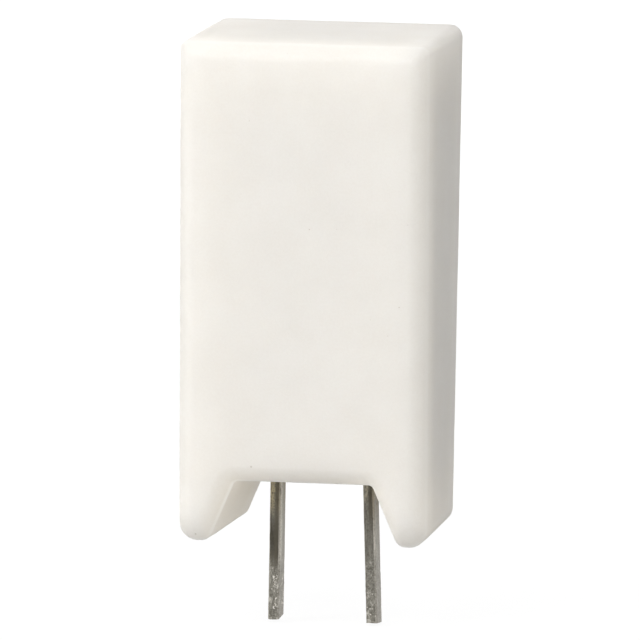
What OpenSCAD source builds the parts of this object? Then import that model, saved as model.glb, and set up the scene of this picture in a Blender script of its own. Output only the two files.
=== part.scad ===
// Upright wirewound power resistor in a pressed ceramic case.
// The case is a trough: its closed, round-edged face is the front, at -Y, and it opens at
// the back, where cement closes it over the wound element. Two feet hold it off the board.
// The origin lies on the board plane, midway between the feet. Millimetres, +Z up.

/* [Case] */
// Width over the two sides
case_w = 12.95; // [12.45:0.25:16]
// Depth from the front face to the back rim
case_d = 10.1; // [9.3:0.2:12]
// Height above the board, at the front
case_h = 25.75; // [22:0.25:36]
// Thickness of the front wall
front_wall = 1.9; // [1.5:0.1:2.3]
// Thickness of each side wall at the back rim
side_wall = 1.8; // [1.4:0.1:2]
// Thickness of the top wall at the back rim
top_wall = 1.8; // [1.4:0.1:2.4]
// Thickness of the wall between the notch and the cement
bottom_wall = 1.8; // [1.4:0.1:2.4]

/* [Edges and draft] */
// Reach of the front rounding across the front face
front_round = 0.95; // [0.6:0.05:1]
// Reach of the front rounding into the depth, as far as the parting line
front_round_depth = 0.9; // [0.6:0.05:1.2]
// Angle that the front rounding turns before the parting line cuts it off
front_round_angle = 66; // [50:1:80]
// Radius of the back rim's outer edge
back_round = 0.5; // [0.3:0.05:0.6]
// Radius of the two top corners on the front face
face_corner_r = 0.2; // [0.1:0.05:0.4]
// Radius of the two top corners at the parting line
top_corner_r = 0.4; // [0.3:0.05:1.5]
// Radius of the two top corners at the back
back_corner_r = 0.65; // [0.3:0.05:1.5]
// Rise of the top from the parting line to the back
top_rise = 0.1; // [0:0.02:0.2]
// How much nearer the middle each side is at the feet than at the top, at the back
back_lean = 0.4; // [0:0.05:0.5]
// Draft of the cavity walls, from its floor to its mouth
cavity_draft = 0.25; // [0.1:0.05:0.4]
// Radius of the cavity's four upright corners
cavity_corner_r = 0.8; // [0.4:0.1:1.2]
// Radius between the cavity's floor and its walls
cavity_floor_r = 0.4; // [0.2:0.05:0.6]

/* [Feet and notch] */
// Height of the notch above the board, at the front
notch_h = 3.15; // [2.65:0.1:4]
// Width of the notch at its ceiling, at the front
notch_top_w = 7.12; // [6.72:0.04:7.4]
// Width of the notch at the board, at the front
notch_foot_w = 9.82; // [9.2:0.02:9.9]
// How much nearer the middle each side of the notch is at the back
notch_draft = 0.12; // [0:0.02:0.3]
// How much lower the notch ceiling is at the back
notch_drop = 0.05; // [0:0.05:0.2]
// Radius in the two corners of the notch
notch_corner_r = 0.3; // [0.15:0.05:0.6]
// Radius of each foot's outer bottom edge
foot_outer_r = 1; // [0.5:0.05:1.1]
// Radius of each foot's inner bottom edge
foot_inner_r = 0.65; // [0.2:0.05:0.8]
// Width that is left of each foot's tip on the front face
foot_tip_w = 0.2; // [0.16:0.02:0.3]

/* [Wound element] */
// Diameter of the ceramic core
core_d = 3.2; // [2.4:0.1:3.4]
// Wall of each end cap
cap_wall = 0.3; // [0.2:0.05:0.4]
// Length of each end cap
cap_len = 3.5; // [2.5:0.25:4.5]
// Closed end of each cap
cap_end = 0.5; // [0.3:0.1:0.8]
// Bevel round the closed end of each cap
cap_bevel = 0.15; // [0.05:0.05:0.25]
// Diameter of the resistance wire
wire_d = 0.25; // [0.16:0.01:0.28]
// Distance between the turns of the winding
wire_pitch = 0.7; // [0.5:0.05:1.2]
// Slack between the winding and the core, and between its ends and the caps
wire_gap = 0.03; // [0.03:0.01:0.05]
// Cement between each end of the element and the case
end_cover = 1.2; // [0.8:0.1:2]

/* [Leads] */
// Distance between the two leads where they leave the case
lead_pitch = 4.82; // [4.72:0.02:5.2]
// Thickness of the lead strip
lead_t = 0.58; // [0.5:0.02:0.66]
// Width of the lead strip, along the depth
lead_w = 1.4; // [1.2:0.1:1.8]
// Radius of the strip's long edges
lead_edge_r = 0.16; // [0.06:0.02:0.2]
// Length of the leads below the feet
lead_len = 4.75; // [3.5:0.25:12]
// How far the leads and the element sit behind the middle of the depth
lead_back = 1.25; // [0.85:0.1:1.65]
// How far the short lead's tip leans outwards
short_lean = 0.11; // [0:0.01:0.3]
// How far the long lead's tip leans outwards
long_lean = 0.23; // [0:0.01:0.4]
// How much higher the short lead was sheared at the back than at the front
short_shear = 0.12; // [-0.2:0.02:0.2]
// How much higher the long lead was sheared at the back than at the front
long_shear = -0.15; // [-0.2:0.05:0.2]
// Gap between each lead and its cap, bridged by the welds
weld_gap = 0.1; // [0.05:0.01:0.15]
// Diameter of each weld
weld_d = 0.8; // [0.5:0.1:1]
// Distance from each end of a cap to the nearest weld
weld_inset = 1.1; // [0.8:0.1:1.2]

/* [Cement] */
// Room between each side of a slot and its lead
slot_gap = 0.16; // [0.1:0.02:0.18]
// Room between the round end of each slot and the front edge of its lead
slot_end_gap = 0.5; // [0.4:0.05:0.8]
// Depth of the cement below the back rim
cement_recess = 0.35; // [0.2:0.05:0.6]
// Rise of the cement where it creeps up the walls
cement_creep = 0.18; // [0.05:0.01:0.2]
// Width of the band where the cement creeps up the walls
creep_w = 0.6; // [0.3:0.1:1]
// Gap between the slots' lower ends and the cement in them
slot_recess = 0.15; // [0.1:0.05:0.4]

/* [Hidden] */
$fn = 64;
// How far a cutting shape runs past what it cuts
past = 1;
// Share of a foot's width that its two bottom fillets may take
fillet_fit = 0.88;
// Steps of the front rounding, the back rounding and the outline's corners
front_steps = 10;
back_steps = 6;
corner_steps = 8;
small_steps = 4;
// Steps of one turn of the winding, and the sides of its wire
turn_steps = 20;
wire_sides = 6;

front_y = -case_d / 2;
back_y = case_d / 2;
side_x = case_w / 2;
// Slant of the notch's sides, measured from the upright
notch_slant = atan((notch_foot_w - notch_top_w) / 2 / notch_h);

cavity_y = front_y + front_wall;
cavity_x = side_x - side_wall;
cavity_low = notch_h + bottom_wall;
cavity_high = case_h + top_rise - top_wall;

cap_r = core_d / 2 + cap_wall;
winding_r = core_d / 2 + wire_gap + wire_d / 2;
short_x = -lead_pitch / 2;
long_x = lead_pitch / 2;
element_x = short_x + lead_t / 2 + weld_gap + cap_r;
element_low = cavity_low + end_cover;
element_high = cavity_high - end_cover;
winding_low = element_low + cap_len + wire_gap + wire_d;
winding_high = element_high - cap_len - wire_gap - wire_d;
// The long lead steps in over this height to meet the upper cap
joggle_h = 1.5;
long_top_x = element_x + cap_r + weld_gap + lead_t / 2;
cement_y = back_y - cement_recess;

function unit(v) = v / norm(v);

// Points of the arc that rounds corner p between its neighbours a and b
function fillet(a, p, b, r, steps) =
    let (u = unit(a - p),
         v = unit(b - p),
         half = acos(u * v) / 2,
         centre = p + unit(u + v) * r / sin(half),
         first = p + u * r / tan(half) - centre,
         turn = (180 - 2 * half) * sign(cross(p - a, b - p)),
         start = atan2(first[1], first[0]))
    [for (k = [0:steps]) centre + r * [cos(start + turn * k / steps), sin(start + turn * k / steps)]];

// Outline of [[corner, radius, steps], ...] with every corner rounded
function rounded(corners) =
    let (n = len(corners))
    [for (k = [0:n - 1])
        each fillet(corners[(k + n - 1) % n][0], corners[k][0], corners[(k + 1) % n][0],
                    corners[k][1], corners[k][2])];

function backwards(list) = [for (k = [len(list) - 1:-1:0]) list[k]];

function mirrored(corners) =
    [for (c = backwards(corners)) [[-c[0][0], c[0][1]], c[1], c[2]]];

// Outline of the case at a share of its depth behind the parting line, drawn in by inset.
// Near the front, face goes from 0 at the parting line to 1 on the front face.
function case_outline(share, inset, face) =
    let (high = case_h + top_rise * share - inset,
         top_x = side_x - inset,
         foot_x = top_x - back_lean * share,
         slope = tan(notch_slant),
         low_x = notch_foot_w / 2 - notch_draft * share + inset / cos(notch_slant),
         ceiling = notch_h - notch_drop * share + inset,
         whole = side_x - notch_foot_w / 2,
         rise = max(inset, face * (foot_tip_w - whole + front_round * (1 + 1 / cos(notch_slant))) / slope),
         left = foot_x - low_x + rise * slope,
         rounded_w = foot_outer_r + foot_inner_r * tan((90 - notch_slant) / 2),
         scale_r = min(1, fillet_fit * left / rounded_w),
         right_side = [
            [[low_x - ceiling * slope, ceiling], notch_corner_r + inset, small_steps],
            [[low_x - rise * slope, rise], foot_inner_r * scale_r, small_steps],
            [[foot_x, rise], foot_outer_r * scale_r, corner_steps],
            [[top_x, high], top_corner_r + (face_corner_r - top_corner_r) * face
                            + (back_corner_r - top_corner_r) * share - inset * share * back_corner_r, corner_steps]])
    rounded(concat(right_side, mirrored(right_side)));

// Rings of the case from its front face to its back rim, each [outline, y]
function case_rings() =
    let (full = 1 - cos(front_round_angle))
    concat(
        [for (k = [0:front_steps])
            let (a = front_round_angle * k / front_steps,
                 face = 1 - sin(a) / sin(front_round_angle))
            [case_outline(0, front_round * face, face), front_y + front_round_depth * (1 - cos(a)) / full]],
        [for (k = [0:back_steps])
            let (a = 90 * k / back_steps)
            [case_outline(1, back_round * (1 - cos(a)), 0), back_y - back_round * (1 - sin(a))]]);

// A flat end of the case: each foot is a fan from the top corner above it, and the rest is convex
function case_end() =
    let (top = 2 * (small_steps + 1) + corner_steps + 1,
         last = 2 * (top + corner_steps + 1) - 1)
    concat(
        [for (j = [0:top - 2]) [j, j + 1, top]],
        [for (j = [0:top - 2]) [last - top, last - j - 1, last - j]],
        [concat([0], [for (j = [top:last - top]) j], [last])]);

// Outline of the cavity, drawn in by inset from its mouth
function cavity_outline(inset) =
    let (right_side = [
            [[cavity_x - inset, cavity_low + inset], cavity_corner_r, corner_steps],
            [[cavity_x - inset, cavity_high - inset], cavity_corner_r, corner_steps]])
    rounded(concat(right_side, mirrored(right_side)));

// Rings of the cavity from its floor to a depth, with the floor's round edge
function cavity_rings(to_y) =
    let (walls = case_d - front_wall - cavity_floor_r)
    concat(
        [for (k = [0:back_steps])
            let (a = 90 * k / back_steps)
            [cavity_outline(cavity_draft + cavity_floor_r * (1 - sin(a))),
             cavity_y + cavity_floor_r * (1 - cos(a))]],
        [[cavity_outline(cavity_draft * (back_y - to_y) / walls), to_y]]);

// Solid through rings of equal length, each [outline in x and z, y]. An end's faces list the
// points of a ring, in its order, and a convex ring needs no more than one face.
module loft(rings, end = undef) {
    n = len(rings[0][0]);
    end_faces = is_undef(end) ? [[for (j = [0:n - 1]) j]] : end;
    last = len(rings) - 1;
    points = [for (ring = rings) for (p = ring[0]) [p[0], ring[1], p[1]]];
    sides = [for (k = [0:last - 1]) for (j = [0:n - 1])
        let (a = k * n + j, b = k * n + (j + 1) % n)
        each [[a, b, a + n], [b, b + n, a + n]]];
    front_end = [for (face = end_faces) backwards(face)];
    back_end = [for (face = end_faces) [for (j = face) last * n + j]];
    polyhedron(points, concat(front_end, sides, back_end));
}

// Solid through rings of points that are already in space
module skin(rings) {
    n = len(rings[0]);
    last = len(rings) - 1;
    points = [for (ring = rings) each ring];
    sides = [for (k = [0:last - 1]) for (j = [0:n - 1])
        let (a = k * n + j, b = k * n + (j + 1) % n)
        each [[a, a + n, b], [b, a + n, b + n]]];
    polyhedron(points, concat([[for (j = [0:n - 1]) j]], sides, [[for (j = [n - 1:-1:0]) last * n + j]]));
}

// The two slots in the bottom wall, round at their front ends and open to the back as far as to_y
module slots(low, to_y) {
    half = lead_t / 2 + slot_gap;
    end_y = lead_back - lead_w / 2 + half - slot_end_gap;
    high = cavity_low + cavity_draft + cavity_floor_r;
    for (x = [short_x, long_x]) {
        translate([x - half, end_y, low]) cube([2 * half, to_y - end_y, high - low]);
        translate([x, end_y, low]) cylinder(r = half, h = high - low);
    }
}

// The pressed ceramic case: drafted trough, round front edges, notch, feet and lead slots
module ceramic_case() {
    color("ivory") difference() {
        loft(case_rings(), case_end());
        loft(cavity_rings(back_y + past));
        slots(notch_h - notch_drop - notch_corner_r, back_y + past);
    }
}

// The cement's back face: it creeps up the walls and lies lower in the middle
module cement_hollow() {
    bowl = [
        [cavity_outline(creep_w + cavity_draft * cement_recess / case_d), cement_y],
        [cavity_outline(0), cement_y + cement_creep],
        [cavity_outline(-past), cement_y + cement_creep],
        [cavity_outline(-past), back_y + past]];
    loft(bowl);
}

module element_room() {
    translate([element_x, lead_back, element_low]) {
        cylinder(r = cap_r, h = cap_len);
        cylinder(r = winding_r + wire_d / 2, h = element_high - element_low);
    }
    translate([element_x, lead_back, element_high - cap_len]) cylinder(r = cap_r, h = cap_len);
}

// The cement: fills the cavity and the slots round the element and the leads
module cement_fill() {
    color("gainsboro") difference() {
        union() {
            loft(cavity_rings(back_y));
            slots(notch_h + slot_recess, cement_y);
        }
        cement_hollow();
        element_room();
        short_lead_body();
        long_lead_body();
    }
}

// The ceramic core that carries the winding, closed in by the two caps
module core_rod() {
    color("white") translate([element_x, lead_back, element_low + cap_end])
        cylinder(d = core_d, h = element_high - element_low - 2 * cap_end);
}

// The resistance wire: one helix over the core, from rim to rim of the caps
module resistance_wire() {
    turns = floor((winding_high - winding_low) / wire_pitch);
    climb = (winding_high - winding_low) / turns;
    steps = turns * turn_steps;
    pitch_angle = atan(climb / (2 * PI * winding_r));
    rings = [for (k = [0:steps])
        let (a = 360 * k / turn_steps,
             z = winding_low + climb * k / turn_steps)
        [for (j = [0:wire_sides - 1])
            let (b = 360 * j / wire_sides,
                 out = winding_r + wire_d / 2 * cos(b),
                 along = -wire_d / 2 * sin(b) * sin(pitch_angle),
                 up = wire_d / 2 * sin(b) * cos(pitch_angle))
            [out * cos(a) - along * sin(a) + element_x,
             out * sin(a) + along * cos(a) + lead_back,
             z + up]]];
    color("dimgray") skin(rings);
}

// One end cap: a drawn cup, closed end at z = 0, pressed over the core
module end_cap() {
    rotate_extrude() polygon([
        [0, 0],
        [cap_r - cap_bevel, 0],
        [cap_r, cap_bevel],
        [cap_r, cap_len],
        [core_d / 2, cap_len],
        [core_d / 2, cap_end],
        [0, cap_end]]);
}

module lower_end_cap() {
    color("silver") translate([element_x, lead_back, element_low]) end_cap();
}

module upper_end_cap() {
    color("silver") translate([element_x, lead_back, element_high]) mirror([0, 0, 1]) end_cap();
}

// Cross-section of the lead strip, with its long edges rounded
function strip_outline() =
    let (x = lead_t / 2, y = lead_w / 2)
    rounded([for (p = [[x, -y], [x, y], [-x, y], [-x, -y]]) [p, lead_edge_r, small_steps]]);

// Strip along stations of [x, z], sheared at its lower end
module strip(stations, shear) {
    skin([for (k = [0:len(stations) - 1])
        [for (p = strip_outline())
            [stations[k][0] + p[0],
             lead_back + p[1],
             stations[k][1] + (k == 0 ? shear * (p[1] / lead_w + 0.5) : 0)]]]);
}

// The two spot welds between a lead's face at face_x and the cap above low
module welds(face_x, side, low) {
    for (z = [low + weld_inset, low + cap_len - weld_inset])
        difference() {
            translate([face_x, lead_back, z]) rotate([0, 90 * side, 0])
                translate([0, 0, -lead_edge_r]) cylinder(d = weld_d, h = lead_edge_r + 2 * weld_gap);
            translate([element_x, lead_back, low - past]) cylinder(r = cap_r, h = cap_len + 2 * past);
        }
}

module short_lead_body() {
    strip([[short_x - short_lean, -lead_len],
           [short_x, notch_h],
           [short_x, element_low + cap_len]], short_shear);
    welds(short_x + lead_t / 2, 1, element_low);
}

module long_lead_body() {
    step_low = element_high - cap_len - joggle_h;
    strip([[long_x + long_lean, -lead_len],
           [long_x, notch_h],
           [long_x, step_low],
           [long_top_x, step_low + joggle_h],
           [long_top_x, element_high]], long_shear);
    welds(long_top_x - lead_t / 2, -1, element_high - cap_len);
}

// The left lead: a straight strip welded to the lower cap
module short_lead() {
    color("darkgray") short_lead_body();
}

// The right lead: passes the lower cap and the winding, and steps in to the upper cap
module long_lead() {
    color("darkgray") long_lead_body();
}

ceramic_case();
cement_fill();
core_rod();
resistance_wire();
upper_end_cap();
lower_end_cap();
short_lead();
long_lead();
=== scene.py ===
"""Upright wirewound power resistor: the case, cement, winding and leads dressed round the frame."""
import logging
import math
from dataclasses import dataclass
from enum import Enum
from typing import Callable, Optional, Sequence

import bmesh
import bpy
import numpy as np
from mathutils import Matrix, Vector, noise
from mathutils.geometry import delaunay_2d_cdt


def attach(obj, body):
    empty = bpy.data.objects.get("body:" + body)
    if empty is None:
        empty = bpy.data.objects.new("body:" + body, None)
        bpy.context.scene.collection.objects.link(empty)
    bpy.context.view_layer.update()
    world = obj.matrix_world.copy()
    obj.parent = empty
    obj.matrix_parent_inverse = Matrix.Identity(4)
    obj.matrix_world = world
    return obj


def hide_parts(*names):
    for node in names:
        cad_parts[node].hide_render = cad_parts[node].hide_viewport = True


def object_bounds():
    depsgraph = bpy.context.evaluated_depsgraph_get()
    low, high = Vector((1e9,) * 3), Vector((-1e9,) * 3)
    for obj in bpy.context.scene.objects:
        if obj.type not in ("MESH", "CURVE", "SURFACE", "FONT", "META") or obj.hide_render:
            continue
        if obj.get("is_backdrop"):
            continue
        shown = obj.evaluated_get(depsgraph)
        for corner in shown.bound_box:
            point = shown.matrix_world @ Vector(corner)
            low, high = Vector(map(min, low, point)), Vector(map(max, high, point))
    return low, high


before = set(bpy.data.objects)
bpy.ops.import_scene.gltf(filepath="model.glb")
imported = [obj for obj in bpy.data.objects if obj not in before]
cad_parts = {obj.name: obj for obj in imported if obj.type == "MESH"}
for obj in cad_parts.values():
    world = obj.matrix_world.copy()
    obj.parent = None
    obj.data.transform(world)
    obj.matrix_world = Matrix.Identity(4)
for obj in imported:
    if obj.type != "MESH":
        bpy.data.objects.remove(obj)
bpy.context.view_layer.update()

LOG = logging.getLogger("resistor")
MM = 0.001
BODY = "root"
FLOOR_GAP = 0.02

Place = tuple[float, float]
Point = tuple[float, float, float]
Colour = tuple[float, float, float]

EVEN: Point = (1.0, 1.0, 1.0)
WHITE: Colour = (1.0, 1.0, 1.0)
BROAD: Place = (0.3, 0.7)


# Node toolkit

class Blend(Enum):
    """The ways in which two colours mix."""

    OVER = "MIX"
    TIMES = "MULTIPLY"


class Value:
    """An output socket that can be used in Python arithmetic."""

    def __init__(self, graph: "Graph", socket: bpy.types.NodeSocket) -> None:
        """Wraps one output of a node in a graph."""
        self.graph = graph
        self.socket = socket

    def _math(self, operation: str, *values: "Value | float", clamp: bool = False) -> "Value":
        """Adds one Math node and returns its output."""
        return self.graph.node("ShaderNodeMath", {"operation": operation, "use_clamp": clamp},
                               dict(enumerate(values)))

    def _compare(self, operation: str, other: "Value") -> "Value":
        """Adds one Compare node and returns its output."""
        return self.graph.node("FunctionNodeCompare",
                               {"data_type": "FLOAT", "operation": operation},
                               {"A": self, "B": other})

    def __add__(self, other: "Value | float") -> "Value":
        """Sum."""
        return self._math("ADD", self, other)

    __radd__ = __add__

    def __sub__(self, other: "Value | float") -> "Value":
        """Difference."""
        return self._math("SUBTRACT", self, other)

    def __rsub__(self, other: float) -> "Value":
        """Reflected difference."""
        return self._math("SUBTRACT", other, self)

    def __mul__(self, other: "Value | float") -> "Value":
        """Product."""
        return self._math("MULTIPLY", self, other)

    __rmul__ = __mul__

    def __abs__(self) -> "Value":
        """The value without its sign."""
        return self._math("ABSOLUTE", self)

    def __lt__(self, other: "Value") -> "Value":
        """Whether the value is less than the other."""
        return self._compare("LESS_THAN", other)

    def __gt__(self, other: "Value") -> "Value":
        """Whether the value is greater than the other."""
        return self._compare("GREATER_THAN", other)

    def __and__(self, other: "Value") -> "Value":
        """Whether both hold."""
        return self.graph.node("FunctionNodeBooleanMath", {"operation": "AND"},
                               {0: self, 1: other})

    def clamped(self) -> "Value":
        """The value held between 0 and 1."""
        return self._math("ADD", self, 0.0, clamp=True)

    def between(self, low: float, high: float) -> "Value":
        """A smooth step from 0 at low to 1 at high, where low may be the greater."""
        return self.graph.node(
            "ShaderNodeMapRange", {"interpolation_type": "SMOOTHSTEP"},
            {"Value": self, "From Min": low, "From Max": high, "To Min": 0.0, "To Max": 1.0})

    def step(self, at: float, fade: Place) -> "Value":
        """A smooth step from 0 to 1 beside a place, between two offsets from it."""
        return self.between(at + fade[0], at + fade[1])

    def also(self, output: str) -> "Value":
        """Another output of the same node."""
        return Value(self.graph, self.socket.node.outputs[output])


class Graph:
    """A node tree under construction."""

    def __init__(self, tree: bpy.types.NodeTree) -> None:
        """Takes up a tree and empties it."""
        self.tree = tree
        self.tree.nodes.clear()

    def add(self, kind: str, settings: Optional[dict] = None,
            inputs: Optional[dict] = None) -> bpy.types.Node:
        """Adds a node.

        Args:
            kind: the node's type.
            settings: the node's own settings, set first.
            inputs: numbers, colours or values by socket name, identifier or index.

        Returns:
            The node.
        """
        made = self.tree.nodes.new(kind)
        for key, setting in (settings or {}).items():
            setattr(made, key, setting)
        for key, value in (inputs or {}).items():
            socket = self._input(made, key)
            if isinstance(value, Value):
                self.tree.links.new(value.socket, socket)
            elif isinstance(value, tuple) and len(value) == 3 and socket.type == "RGBA":
                socket.default_value = (*value, 1.0)
            else:
                socket.default_value = value
        return made

    def node(self, kind: str, settings: Optional[dict] = None, inputs: Optional[dict] = None,
             output: "int | str" = 0) -> Value:
        """Adds a node and returns the output with a name or an index."""
        return Value(self, self.add(kind, settings, inputs).outputs[output])

    @staticmethod
    def _input(made: bpy.types.Node, key: "int | str") -> bpy.types.NodeSocket:
        """Finds an input.

        Args:
            made: the node.
            key: the input's index, identifier or name.

        Returns:
            The input's socket.
        """
        if isinstance(key, str):
            for socket in made.inputs:
                if socket.identifier == key:
                    return socket
        return made.inputs[key]


class Recipe(Graph):
    """A Geometry Nodes group under construction, with its sizes as named inputs."""

    def __init__(self, name: str, inputs: dict[str, str]) -> None:
        """Starts the group.

        Args:
            name: the group's name.
            inputs: the kind of each named input beside the geometry.
        """
        super().__init__(bpy.data.node_groups.new(name, "GeometryNodeTree"))
        face = self.tree.interface
        for label, kind in {"Geometry": "Geometry", "Finish": "Material", **inputs}.items():
            face.new_socket(label, in_out="INPUT", socket_type="NodeSocket" + kind)
        face.new_socket("Geometry", in_out="OUTPUT", socket_type="NodeSocketGeometry")
        self.entry = self.add("NodeGroupInput")

    def given(self, label: str) -> Value:
        """The value of a named input."""
        return Value(self, self.entry.outputs[label])

    def serve(self, geometry: Value) -> "Recipe":
        """Closes the group with real geometry in the material of the input Finish.

        Args:
            geometry: what the group makes.

        Returns:
            The recipe itself.
        """
        real = self.node("GeometryNodeRealizeInstances", inputs={"Geometry": geometry})
        dressed = self.node("GeometryNodeSetMaterial",
                            inputs={"Geometry": real, "Material": self.given("Finish")})
        self.add("NodeGroupOutput", inputs={"Geometry": dressed})
        return self

    def grow(self, name: str, mesh: bpy.types.Mesh, values: dict) -> bpy.types.Object:
        """Makes an object by the recipe, as a plain mesh.

        Args:
            name: the object's name.
            mesh: the mesh that it starts from.
            values: the value of each named input.

        Returns:
            The object.
        """
        made = placed(name, mesh)
        step = made.modifiers.new(name, "NODES")
        step.node_group = self.tree
        for item in self.tree.interface.items_tree:
            if item.in_out == "INPUT" and item.name in values:
                step[item.identifier] = values[item.name]
        bake(made)
        return made


@dataclass(frozen=True)
class Cloud:
    """Noise: millimetres between its blots, its octaves, their strength and its stretch."""

    size: float
    detail: float = 2.0
    roughness: float = 0.5
    stretch: Point = EVEN


@dataclass(frozen=True)
class Spots:
    """Round spots on places that lie size millimetres apart.

    The radius is a share of that distance, and the core, where a spot is full, a share of the
    radius. The share is that of the places that have a spot, with faint ones where the choice
    is soft.
    """

    size: float
    radius: float
    share: float
    core: float = 0.4
    soft: float = 0.01


class Bench(Graph):
    """One material under construction."""

    def __init__(self, name: str) -> None:
        """Starts an empty material.

        Args:
            name: the material's name.
        """
        self.material = bpy.data.materials.new(name)
        self.material.use_nodes = True
        super().__init__(self.material.node_tree)

    def coordinates(self, stretch: Point = EVEN) -> Value:
        """Object coordinates in millimetres, stretched along each axis."""
        place = self.node("ShaderNodeTexCoord", output="Object")
        return self.node("ShaderNodeVectorMath", {"operation": "MULTIPLY"},
                         {0: place, 1: tuple(s / MM for s in stretch)})

    def along(self, axis: str) -> Value:
        """The place along the X, Y or Z axis in millimetres."""
        return self.node("ShaderNodeSeparateXYZ", inputs={0: self.coordinates()}, output=axis)

    def cloud(self, cloud: Cloud) -> Value:
        """Noise, about 0.5 on average."""
        return self.node("ShaderNodeTexNoise", inputs={
            "Vector": self.coordinates(cloud.stretch), "Scale": 1.0 / cloud.size,
            "Detail": cloud.detail, "Roughness": cloud.roughness})

    def spots(self, spots: Spots) -> Value:
        """The mask of round spots.

        Args:
            spots: their sizes.

        Returns:
            1 in each spot and 0 between them.
        """
        near = self.node("ShaderNodeTexVoronoi", {"feature": "F1"},
                         {"Vector": self.coordinates(), "Scale": 1.0 / spots.size,
                          "Randomness": 1.0}, "Distance")
        pick = self.node("ShaderNodeSeparateColor", inputs={0: near.also("Color")}, output="Red")
        chosen = pick.between(spots.share + spots.soft, spots.share - spots.soft)
        return near.between(spots.radius, spots.radius * spots.core) * chosen

    def mix(self, share: "Value | float", first: "Value | Colour", second: "Value | Colour",
            how: Blend = Blend.OVER) -> Value:
        """Mixes two colours, where a share of 0 gives the first and 1 the second."""
        return self.node("ShaderNodeMix", {"data_type": "RGBA", "blend_type": how.value},
                         {"Factor_Float": share, "A_Color": first, "B_Color": second}, 2)

    def bump(self, height: Value, reach: float, strength: float = 1.0) -> Value:
        """A normal bent by a height, where a height of 1 stands for reach millimetres."""
        return self.node("ShaderNodeBump", {}, {"Strength": strength, "Distance": reach * MM,
                                                "Height": height}, "Normal")

    def finish(self, **inputs: "Value | float | Colour") -> bpy.types.Material:
        """Closes the material with a Principled shader.

        Args:
            **inputs: the shader's inputs, with underscores for spaces.

        Returns:
            The material.
        """
        named = {key.replace("_", " "): value for key, value in inputs.items()}
        return self.output(self.node("ShaderNodeBsdfPrincipled",
                                     {"subsurface_method": "BURLEY"}, named))

    def output(self, shader: Value) -> bpy.types.Material:
        """Closes the material with any shader."""
        self.add("ShaderNodeOutputMaterial", inputs={"Surface": shader})
        return self.material


# Finishes

@dataclass(frozen=True)
class FiredCeramic:
    """Matte pressed and fired ceramic: faint blotches, fine grain and rare pits."""

    name: str = "fired_ceramic"
    light: Colour = (0.914, 0.885, 0.832)
    shade: Colour = (0.878, 0.842, 0.783)
    speck: Colour = (0.56, 0.50, 0.42)
    blots: Cloud = Cloud(2.6, 4.0)
    grain: Cloud = Cloud(0.12, 3.0, 0.65)
    pits: Spots = Spots(0.9, 0.055, 0.16)
    specks: Spots = Spots(1.7, 0.03, 0.3)
    relief: float = 0.0126
    roughness: float = 0.52
    glow: float = 1.0
    glow_reach: Point = (1.0, 0.94, 0.84)
    glow_mm: float = 4.4

    def mould_and_highlight(self, b: Bench, colour: Value, height: Value,
                blots: Value) -> tuple[Value, Value]:
        """The colour and the height with the case's extras: the mould's soft turn, a painted
        highlight along the parting line and specks, of which a plain rod has none.
        """
        return colour, height

    def material(self) -> bpy.types.Material:
        """Builds the material.

        Returns:
            The material.
        """
        b = Bench(self.name)
        blots = b.cloud(self.blots).between(*BROAD)
        grain = b.cloud(self.grain)
        pits = b.spots(self.pits)
        tone = (blots * 0.5 + grain.between(*BROAD) * 0.5).clamped()
        colour = b.mix(tone, self.light, self.shade)
        colour = b.mix((pits * 0.25 + b.spots(self.specks) * 0.55).clamped(), colour, self.speck)
        height = (grain * 0.35 + blots * 0.25 - pits) * self.relief
        colour, height = self.mould_and_highlight(b, colour, height, blots)
        return b.finish(Base_Color=colour, Roughness=self.roughness + grain * 0.16,
                        Subsurface_Weight=self.glow, Subsurface_Radius=self.glow_reach,
                        Subsurface_Scale=self.glow_mm * MM, Normal=b.bump(height, 1.0))


@dataclass(frozen=True)
class MouldedCeramic(FiredCeramic):
    """The case's ceramic: a painted highlight along the parting line, and a soft turn past it."""

    parting: float = 0.0
    # Colour of the painted highlight along the parting line.
    crease_highlight: Colour = (0.975, 0.955, 0.91)
    rise: float = 0.16
    side_rise: float = 0.38
    eased: float = 2.0
    flank: Place = (5.2, 6.3)
    crown: Place = (24.3, 25.6)
    rim: float = 4.6
    highlight_front: Place = (-0.36, -0.12)
    highlight_back: Place = (0.07, 0.0)
    notch_side: Place = (6.2, 5.8)
    notch_high: Place = (6.0, 4.5)
    front: Place = (-4.2, -4.4)
    marks: tuple[Point, ...] = ((-2.534, 4.051, 0.055), (-5.494, 0.42, 0.05))

    def mould_and_highlight(self, b: Bench, colour: Value, height: Value,
                blots: Value) -> tuple[Value, Value]:
        """Adds the mould's soft turn, a painted highlight along the parting line, and the specks.
            colour: the plain ceramic's colour.
            height: the plain ceramic's height.
            blots: the ceramic's blotches.

        Returns:
            The colour and the height.
        """
        x, y, z = b.along("X"), b.along("Y"), b.along("Z")
        past = ((y - self.parting) * (1 / self.eased)).clamped()
        beside = (x * x).between(*(edge ** 2 for edge in self.flank))
        outer = beside * self.side_rise + (1.0 - beside) * z.between(*self.crown) * self.rise
        fade = y.between(self.rim, self.parting + self.eased)
        height = height + past * (2.0 - past) * outer * fade

        # Painted highlight: a lighter line in the colour along the parting-line crease, stronger
        # round the notch.
        highlight_line = y.step(self.parting, self.highlight_front) * y.step(self.parting, self.highlight_back)
        notch = x.between(*self.notch_side) * x.between(*(-edge for edge in self.notch_side)) \
            * z.between(*self.notch_high)
        highlight_line = highlight_line * (0.35 + notch * 0.65) * (0.6 + blots * 0.4)
        colour = b.mix(highlight_line, colour, self.crease_highlight)

        for mark_x, mark_z, radius in self.marks:
            off_x, off_z = x - mark_x, z - mark_z
            dot = (off_x * off_x + off_z * off_z).between(radius ** 2 * 1.6, 0.0)
            colour = b.mix(dot * y.between(*self.front) * 0.6, colour, self.speck)
        return colour, height


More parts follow.
